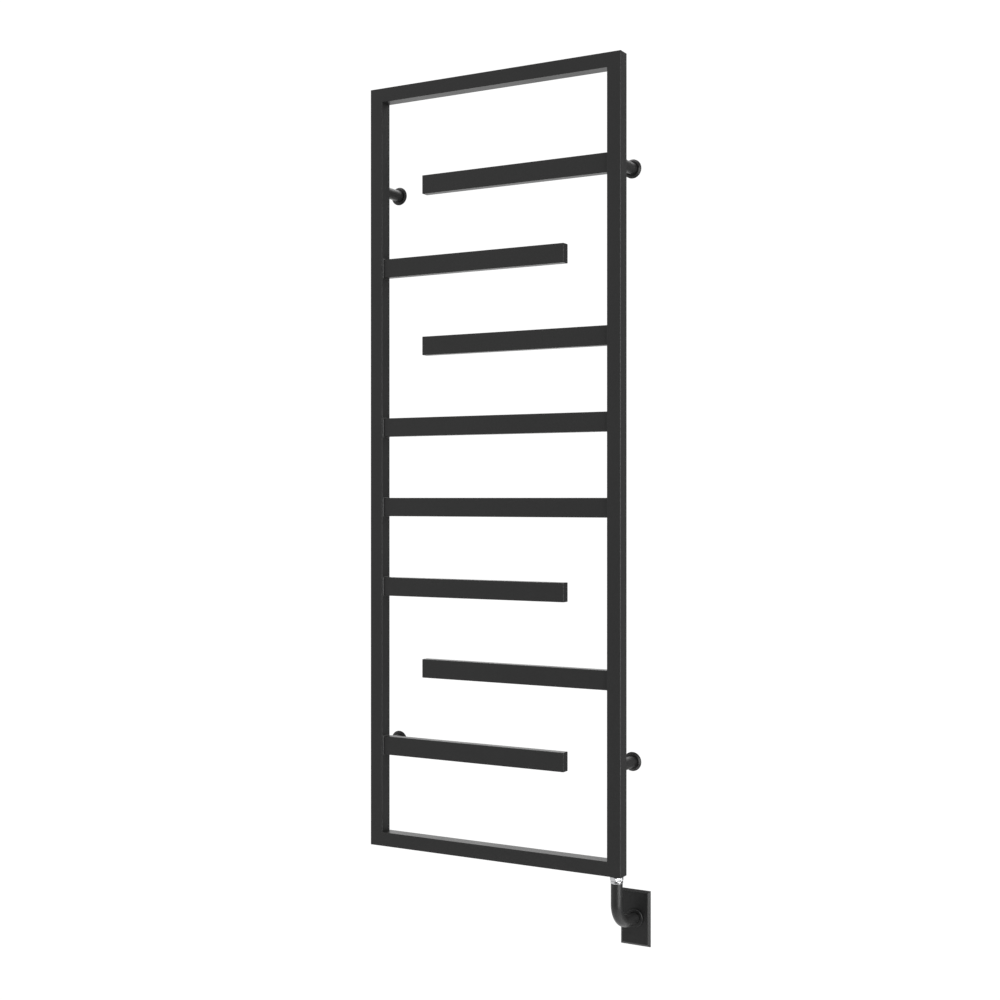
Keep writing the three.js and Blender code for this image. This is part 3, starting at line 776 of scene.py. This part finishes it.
def build_brackets():
    for level in ("upper", "lower"):
        for side in ("left", "right"):
            name = f"{level}_{side}"
            low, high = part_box(f"{name}_stem")
            x, z = middle(f"{name}_stem").xz
            hole = set_screw_hole(name)
            piece(f"stem_{name}", stem_mesh(name), COAT, f"{name}_stem", cutters=[hole])
            outline = round_bead_outline((high.x - low.x) / 2)
            bead = bead_mesh(outline, on_y(x, z), low.y, 1)
            piece(f"stem_weld_{name}", bead, COAT, body="rack")
            piece(f"base_{name}", wall_base_mesh(name), ZINC, f"{name}_wall_base")
            piece(f"rosette_ring_{name}", rosette_mesh(name), COAT, f"{name}_rosette")
            piece(f"wall_bolt_{name}", wall_screw_mesh(name), ZINC, f"{name}_wall_screw")
            piece(f"grub_screw_{name}", set_screw_mesh(name), ZINC, f"{name}_set_screw")


# ---------------------------------------------------------------- heater and fill plug


def thread_profile(low, high):
    """The crests and roots of a thread between two heights, as (radius, along) points from low to high."""
    turns = int((high - low) / THREAD_PITCH)
    pitch = (high - low) / turns
    points = []
    for turn in range(turns):
        start = low + turn * pitch
        points.append((THREAD_RADIUS - THREAD_DEPTH, start + THREAD_ROOT * pitch))
        points += [(THREAD_RADIUS, start + share * pitch) for share in THREAD_CREST]
    points.append((THREAD_RADIUS - THREAD_DEPTH, high))
    return points


def chamfered_hexagon(across_flats, turn, chamfer, low, high, place):
    """A hexagonal collar's rings from low to high, its corners turned down as on a nut. The two chamfers
    mustn't meet at the corners, so a thin nut takes a small angle."""
    outline = hexagon(across_flats, turn, ROUND_SEGMENTS)
    flat = across_flats / 2 * HEX_FACE
    slope = math.tan(chamfer)
    round_edge = circle_from(turn, flat)
    rings = []
    for edge, inwards in ((low, 1), (high, -1)):
        dropped = []
        for across, up in outline:
            drop = slope * (math.hypot(across, up) - flat)
            dropped.append(place(across, up, edge + inwards * drop))
        pair = [ring(round_edge, place, edge), dropped]
        rings += pair if inwards > 0 else pair[::-1]
    return rings


def heater_head_mesh():
    """The heater's chrome hexagon, with its thread above and the swivel neck below."""
    low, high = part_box("heater_head")
    centre = middle("heater_head")
    place = on_z(centre.x, centre.y)
    hex_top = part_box("heater_seal")[0].z
    hex_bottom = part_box("lock_ring")[1].z + FINE_EDGE
    neck = THREAD_RADIUS
    rings = [ring([(0, 0)], place, low.z)]
    for radius, along in ((neck - SOFT_EDGE, low.z), (neck, low.z + SOFT_EDGE), (neck, hex_bottom)):
        rings.append(ring(circle_from(HEX_TURN, radius), place, along))
    rings += chamfered_hexagon(HEX_ACROSS_FLATS, HEX_TURN, HEX_CHAMFER, hex_bottom, hex_top, place)
    thread_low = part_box("heater_seal")[1].z
    rings.append(ring(circle_from(HEX_TURN, neck - THREAD_DEPTH), place, hex_top))
    for radius, along in thread_profile(thread_low, high.z):
        rings.append(ring(circle_from(HEX_TURN, radius), place, along))
    rings.append(ring([(0, 0)], place, high.z))
    return lofted(rings)


def seal_mesh():
    low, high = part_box("heater_seal")
    centre = (low + high) / 2
    bore = THREAD_RADIUS + THREAD_CLEARANCE
    radius = (high.x - low.x) / 2
    profile = [(bore, low.z), (radius, low.z), (radius, high.z), (bore, high.z)]
    rounded = softened(profile, SOFT_EDGE, closed=True)
    return turned(rounded, on_z(centre.x, centre.y), closed=True)


def fill_plug_mesh():
    low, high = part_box("fill_plug")
    centre = (low + high) / 2
    radius = (high.x - low.x) / 2
    shape = [(radius - SOFT_EDGE, low.z), (radius, low.z + SOFT_EDGE)]
    shape += thread_profile(low.z + 2 * SOFT_EDGE, high.z - SOFT_EDGE)
    shape += [(radius - THREAD_DEPTH - SOFT_EDGE, high.z), (0, high.z)]
    return socket_screw(shape, PLUG_SOCKET, PLUG_SOCKET_DEPTH, on_z(centre.x, centre.y))


def lock_ring_mesh():
    low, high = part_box("lock_ring")
    centre = (low + high) / 2
    radius = (high.x - low.x) / 2
    bore = conduit_radius() - CONDUIT_WALL
    profile = [(bore, low.z), (radius, low.z), (radius, high.z), (bore, high.z)]
    rounded = softened(profile, LOCK_RING_EDGE, closed=True, steps=2 * EDGE_STEPS)
    return turned(rounded, on_z(centre.x, centre.y), closed=True)


def keep_cad_node(node, finish):
    """Shows a CAD node as it is, with a finished material."""
    made = frame["nodes"][node]
    material, slot = finish
    if made.material_slots:
        made.material_slots[0].material = material
    else:
        made.data.materials.append(material)


def build_heater():
    piece("heater_hexagon", heater_head_mesh(), CHROME, "heater_head")
    piece("seal_ring", seal_mesh(), RUBBER, "heater_seal")
    piece("drain_plug", fill_plug_mesh(), BRASS, "fill_plug")
    piece("swivel_ring", lock_ring_mesh(), CHROME, "lock_ring")
    keep_cad_node("heater_rod", STAINLESS)
    keep_cad_node("heater_boss", ZINC)
    keep_cad_node("fill_boss", ZINC)


# ---------------------------------------------------------------- elbow conduit and leads


def elbow_turn():
    """How far the elbow is turned about the heater's axis, from straight back towards +X."""
    axis = middle("heater_head")
    outlet = middle("wall_strap")
    return math.atan2(outlet.x - axis.x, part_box("wall_strap")[1].y - axis.y)


def run_length(node, half_width):
    """How far a run goes back from the heater's axis, when its end reaches the back of the node's box.
    half_width is from the conduit's axis to the run's left side, which the turned elbow has at the back."""
    turn = elbow_turn()
    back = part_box(node)[1].y - middle("heater_head").y
    return (back - half_width * math.sin(turn)) / math.cos(turn)


def elbow_stations(top, run, sideways=0.0, inwards=0.0):
    """Points down from top, round the bend and back for a length of run, before the elbow is turned.
    Each is (across, back, up, direction to the bend's inside). inwards moves the line to that side."""
    axis_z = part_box("elbow_conduit")[0].z + conduit_radius()
    radius = CONDUIT_BEND - inwards
    stations = [(sideways, inwards, top, 0.0)]
    for step in range(BEND_STEPS + 1):
        turn = QUARTER_TURN * step / BEND_STEPS
        back = CONDUIT_BEND - radius * math.cos(turn)
        up = axis_z + CONDUIT_BEND - radius * math.sin(turn)
        stations.append((sideways, back, up, turn))
    stations.append((sideways, run, axis_z + inwards, QUARTER_TURN))
    return stations


def moved(station, back=0.0, up=0.0):
    return (station[0], station[1] + back, station[2] + up, station[3])


def elbow_ring(station, radius, segments):
    """A ring round a station, turned with the elbow."""
    across, back, up, turn = station
    inside = Vector((0, math.cos(turn), math.sin(turn)))
    axis = middle("heater_head")
    centre = Vector((axis.x, axis.y, 0))
    turned_by = Matrix.Rotation(-elbow_turn(), 3, "Z")
    points = []
    for side, towards_inside in circle(radius, segments):
        point = Vector((across + side, back, up)) + inside * towards_inside
        points.append(centre + turned_by @ point)
    return points


def conduit_radius():
    return middle("heater_head").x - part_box("elbow_conduit")[0].x


def conduit_mesh():
    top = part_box("elbow_conduit")[1].z
    radius = conduit_radius()
    bore = radius - CONDUIT_WALL
    line = elbow_stations(top, run_length("elbow_conduit", radius))
    first, last = line[0], line[-1]
    outer = [elbow_ring(first, radius - SOFT_EDGE, ROUND_SEGMENTS)]
    outer.append(elbow_ring(moved(first, up=-SOFT_EDGE), radius, ROUND_SEGMENTS))
    outer += [elbow_ring(station, radius, ROUND_SEGMENTS) for station in line[1:-1]]
    outer.append(elbow_ring(moved(last, back=-SOFT_EDGE), radius, ROUND_SEGMENTS))
    outer.append(elbow_ring(last, radius - SOFT_EDGE, ROUND_SEGMENTS))
    inner = [elbow_ring(station, bore, ROUND_SEGMENTS) for station in reversed(line)]
    return lofted(outer + inner, closed=True)


def lead_mesh(node, angle):
    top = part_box(node)[1].z
    sideways = LEAD_OFFSET * math.sin(angle)
    run = run_length(node, LEAD_RADIUS - sideways)
    line = elbow_stations(top, run, sideways, LEAD_OFFSET * math.cos(angle))
    first, last = line[0], line[-1]
    sides = SMALL_SEGMENTS // 2
    rings = [elbow_ring(first, LEAD_RADIUS - FINE_EDGE, sides)]
    rings.append(elbow_ring(moved(first, up=-FINE_EDGE), LEAD_RADIUS, sides))
    rings += [elbow_ring(station, LEAD_RADIUS, sides) for station in line[1:-1]]
    rings.append(elbow_ring(moved(last, back=-FINE_EDGE), LEAD_RADIUS, sides))
    rings.append(elbow_ring(last, LEAD_RADIUS - FINE_EDGE, sides))
    return lofted(rings)


def conduit_hole_ring(outline, along):
    """One ring of a hole for the conduit, which follows the turned run and so moves across with depth."""
    x, z = middle("wall_strap").xz
    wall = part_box("wall_strap")[1].y
    return ring(outline, on_y(x + (along - wall) * math.tan(elbow_turn()), z), along)


def strap_mesh():
    """The strap behind the cover plate, with a hole for the conduit."""
    low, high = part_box("wall_strap")
    x, z = middle("wall_strap").xz
    place = on_y(x, z)
    hole = conduit_hole()
    steps = ROUND_SEGMENTS // 4 - 1
    width, height = high.x - low.x, high.z - low.z

    def outline(inset):
        return rounded_outline(width - 2 * inset, height - 2 * inset, STRAP_CORNER - inset, steps)

    section = softened([(hole, high.y), (0, high.y), (0, low.y), (hole, low.y)], FINE_EDGE)
    rings = [ring(outline(inset), place, along) for inset, along in section[1:-1]]
    rings += [conduit_hole_ring(circle(hole, ROUND_SEGMENTS), along) for along in (low.y, high.y)]
    return lofted(rings, closed=True)


def strap_screw_hole(level):
    low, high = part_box("wall_strap")
    x, z = middle(f"{level}_strap_screw").xz
    radius = STRAP_SCREW_RADIUS + FINE_EDGE
    return plug(radius, low.y - CUT_OVERLAP, high.y + CUT_OVERLAP, on_y(x, z))


def strap_screw_mesh(level):
    low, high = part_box(f"{level}_strap_screw")
    x, z = middle(f"{level}_strap_screw").xz
    head = (high.x - low.x) / 2
    seat = low.y + STRAP_SCREW_HEAD
    profile = [(0, low.y), (STRAP_SCREW_CROWN * head, low.y + STRAP_SCREW_CROWN_DROP)]
    profile += [(head, low.y + STRAP_SCREW_EDGE_DROP), (head, seat)]
    profile += [(STRAP_SCREW_RADIUS, seat), (STRAP_SCREW_RADIUS, high.y), (0, high.y)]
    return turned(softened(profile, FINE_EDGE), on_y(x, z), segments=SMALL_SEGMENTS)


def slot_cutter(level):
    """The driver slot across a strap screw's head."""
    low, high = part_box(f"{level}_strap_screw")
    x, z = middle(f"{level}_strap_screw").xz
    length = 2 * (high.x - low.x)
    outline = rounded_outline(length, STRAP_SCREW_SLOT, STRAP_SCREW_SLOT_CORNER, steps=2)
    depths = (low.y - CUT_OVERLAP, low.y + STRAP_SCREW_SLOT_DEPTH)
    return lofted([ring(outline, on_y(x, z), along) for along in depths])


def locknut_mesh():
    low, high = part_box("conduit_locknut")
    x, z = middle("conduit_locknut").xz
    place = on_y(x, z)
    rings = chamfered_hexagon(LOCKNUT_ACROSS_FLATS, HALF_SIDE, LOCKNUT_CHAMFER, low.y, high.y, place)
    bore = circle_from(HALF_SIDE, conduit_hole())
    rings += [conduit_hole_ring(bore, high.y), conduit_hole_ring(bore, low.y)]
    return lofted(rings, closed=True)


def conduit_hole():
    """Radius of a hole that the conduit passes through."""
    return conduit_radius() + CONDUIT_HOLE_CLEARANCE


def cover_plate_mesh():
    """A pressed shell with a bevel all round and a hole for the conduit."""
    low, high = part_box("cover_plate")
    x, z = middle("cover_plate").xz
    place = on_y(x, z)
    width, height = high.x - low.x, high.z - low.z
    steps = ROUND_SEGMENTS // 4 - 1
    hole = conduit_hole()
    inner_bevel = PLATE_BEVEL - (2 - math.sqrt(2)) * PLATE_SKIN

    def outline(inset):
        radius = max(PLATE_CORNER - PLATE_CORNER_LOSS * inset, PLATE_LEAST_CORNER)
        return rounded_outline(width - 2 * inset, height - 2 * inset, radius, steps)

    bevel_start = low.y + PLATE_BEVEL
    outer = [(0, high.y), (0, bevel_start), (PLATE_BEVEL, low.y), (PLATE_BEVEL + PLATE_LEVEL, low.y)]
    inner_front = low.y + PLATE_SKIN
    inner_start = inner_front + inner_bevel
    inner = [(PLATE_SKIN + inner_bevel, inner_front), (PLATE_SKIN, inner_start), (PLATE_SKIN, high.y)]
    rings = [ring(outline(inset), place, along) for inset, along in softened(outer, SOFT_EDGE)]
    for along in (low.y, inner_front):
        rings.append(conduit_hole_ring(circle(hole, ROUND_SEGMENTS), along))
    rings += [ring(outline(inset), place, along) for inset, along in softened(inner, FINE_EDGE)]
    return lofted(rings, closed=True)


def escutcheon_mesh():
    """A flat ring with a narrow bevel. Its bore follows the turned conduit, and its outside is straight."""
    low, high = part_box("escutcheon")
    x, z = middle("escutcheon").xz
    radius = (high.x - low.x) / 2
    hole = conduit_hole()
    front_edge = low.y + ESCUTCHEON_EDGE
    profile = [(hole, high.y), (hole, low.y), (radius - ESCUTCHEON_EDGE, low.y), (radius, front_edge)]
    profile.append((radius, high.y))
    halfway = (hole + radius) / 2
    rings = []
    for here, along in softened(profile, SOFT_EDGE, closed=True):
        outline = circle(here, ROUND_SEGMENTS)
        if here < halfway:
            rings.append(conduit_hole_ring(outline, along))
        else:
            rings.append(ring(outline, on_y(x, z), along))
    return lofted(rings, closed=True)


def build_conduit():
    piece("conduit_elbow", conduit_mesh(), COAT, "elbow_conduit")
    for index, (node, finish) in enumerate(LEADS.items()):
        piece(f"{node}_wire", lead_mesh(node, FULL_TURN * index / len(LEADS)), finish, node)
    holes = [strap_screw_hole(level) for level in ("upper", "lower")]
    piece("strap_plate", strap_mesh(), ZINC, "wall_strap", cutters=holes)
    piece("locknut_hexagon", locknut_mesh(), ZINC, "conduit_locknut")
    piece("plate_shell", cover_plate_mesh(), PLATE_COAT, "cover_plate")
    piece("escutcheon_ring", escutcheon_mesh(), PLATE_COAT, "escutcheon")
    for level in ("upper", "lower"):
        screw = strap_screw_mesh(level)
        node = f"{level}_strap_screw"
        piece(f"strap_bolt_{level}", screw, BRASS, node, cutters=[slot_cutter(level)])


# ---------------------------------------------------------------- studio

CAMERA_PLACE = (1.5525, -2.8043, -0.0680)
CAMERA_TURN = 29.391  # degrees to the left of +Y
CAMERA_TILT = -0.0587  # degrees above level
CAMERA_LENS = 53.844  # millimetres, on a sensor of SENSOR_WIDTH
SENSOR_WIDTH = 36.0
NEAREST = 0.05  # the camera's clipping distances
FURTHEST = 100.0
FLOOR_DROP = 0.62  # below the lowest piece
FLOOR_RADIUS = 1.30
FLOOR_THICKNESS = 20 * MM
FLOOR_EDGE = 5 * MM
BACKDROP_STRENGTH = 1.05  # of the white that only the camera sees
WORLD_LEVEL = 0.287  # strength of the light from in front and from behind, before the corners' shade
WORLD_FALL = 1.20  # how fast it grows towards -X and fades towards +X
WORLD_DARKEST = 0.26
WORLD_BRIGHTEST = 0.95
WORLD_ABOVE = 0.65  # strength of the light from straight above, before the corners' shade
CORNER_SHADE = 0.82  # share of the light that is left in the two darker corners
CORNER_CONTRAST = 1.5  # how quickly the shade sets in from one corner to the next


def facing(place, target):
    """The rotation that turns a light at place to its target."""
    return (Vector(target) - Vector(place)).to_track_quat("-Z", "Y").to_euler()


def add_camera():
    data = bpy.data.cameras.new("camera")
    data.lens = CAMERA_LENS
    data.sensor_width = SENSOR_WIDTH
    data.clip_start = NEAREST
    data.clip_end = FURTHEST
    camera = bpy.data.objects.new("camera", data)
    camera.location = CAMERA_PLACE
    camera.rotation_euler = (math.radians(90 + CAMERA_TILT), 0, math.radians(CAMERA_TURN))
    bpy.context.scene.collection.objects.link(camera)
    bpy.context.scene.camera = camera


def add_softbox(name, azimuth, elevation, distance, size, radiance):
    """A soft light that faces the rack's middle. Azimuth 0 is in front of it and 90 on its right."""
    turn, rise = math.radians(azimuth), math.radians(elevation)
    flat = distance * math.cos(rise)
    place = (flat * math.sin(turn), -flat * math.cos(turn), distance * math.sin(rise))
    data = bpy.data.lights.new(name, "AREA")
    data.shape = "RECTANGLE"
    data.size, data.size_y = size
    data.energy = radiance * math.pi * data.size * data.size_y
    light = bpy.data.objects.new(name, data)
    light.location = place
    light.rotation_euler = facing(place, (0, 0, 0))
    light.visible_camera = False
    bpy.context.scene.collection.objects.link(light)


def add_floor():
    top = cad_box[0].z - FLOOR_DROP
    bottom = top - FLOOR_THICKNESS
    profile = [(0, top), (FLOOR_RADIUS, top), (FLOOR_RADIUS, bottom), (0, bottom)]
    floor = new_object("floor", turned(softened(profile, FLOOR_EDGE), on_z(0, 0)))
    mark_edges(floor.data)
    floor.data.materials.append(pale_floor())


def light_world():
    """A white studio. The camera sees plain white. The light that reaches the rack is strongest from its
    left and weakest from its right, and a little stronger from the upper left and the lower right than
    from the other two corners."""
    world = bpy.data.worlds.new("studio")
    bpy.context.scene.world = world
    world.use_nodes = True
    tree = world.node_tree
    tree.nodes.clear()

    def supply(value, socket):
        if isinstance(value, float):
            socket.default_value = value
        else:
            tree.links.new(value, socket)

    def calculate(operation, *values):
        made = tree.nodes.new("ShaderNodeMath")
        made.operation = operation
        for value, socket in zip(values, made.inputs):
            supply(value, socket)
        return made.outputs[0]

    def bounded(value, low, high):
        return calculate("MINIMUM", calculate("MAXIMUM", value, low), high)

    def white(strength):
        made = tree.nodes.new("ShaderNodeBackground")
        made.inputs["Color"].default_value = (1, 1, 1, 1)
        supply(strength, made.inputs["Strength"])
        return made.outputs[0]

    direction = tree.nodes.new("ShaderNodeSeparateXYZ")
    tree.links.new(tree.nodes.new("ShaderNodeTexCoord").outputs["Generated"], direction.inputs[0])
    across, up = direction.outputs["X"], direction.outputs["Z"]
    level = calculate("MULTIPLY_ADD", across, -WORLD_FALL, WORLD_LEVEL)
    level = bounded(level, WORLD_DARKEST, WORLD_BRIGHTEST)
    level = calculate("MAXIMUM", level, calculate("MULTIPLY", up, WORLD_ABOVE))
    slant = calculate("MULTIPLY", across, up)
    shade = calculate("MULTIPLY_ADD", slant, -CORNER_CONTRAST, (1 + CORNER_SHADE) / 2)
    shade = bounded(shade, CORNER_SHADE, 1.0)
    choice = tree.nodes.new("ShaderNodeMixShader")
    tree.links.new(tree.nodes.new("ShaderNodeLightPath").outputs["Is Camera Ray"], choice.inputs[0])
    tree.links.new(white(calculate("MULTIPLY", level, shade)), choice.inputs[1])
    tree.links.new(white(BACKDROP_STRENGTH), choice.inputs[2])
    output = tree.nodes.new("ShaderNodeOutputWorld")
    tree.links.new(choice.outputs[0], output.inputs["Surface"])


def build_studio():
    scene = bpy.context.scene
    scene.view_settings.view_transform = "Standard"
    scene.view_settings.look = "None"
    add_camera()
    add_floor()
    light_world()
    add_softbox("right_softbox", azimuth=73, elevation=0, distance=3.0, size=(2.5, 3.0), radiance=6.8)
    add_softbox("rear_left_softbox", azimuth=210, elevation=0, distance=3.4, size=(4.0, 3.2), radiance=0.6)
    add_softbox("overhead_light", azimuth=180, elevation=72, distance=3.4, size=(4.5, 4.5), radiance=2.2)


build_studio()
build_frame()
build_bars()
build_brackets()
build_heater()
build_conduit()

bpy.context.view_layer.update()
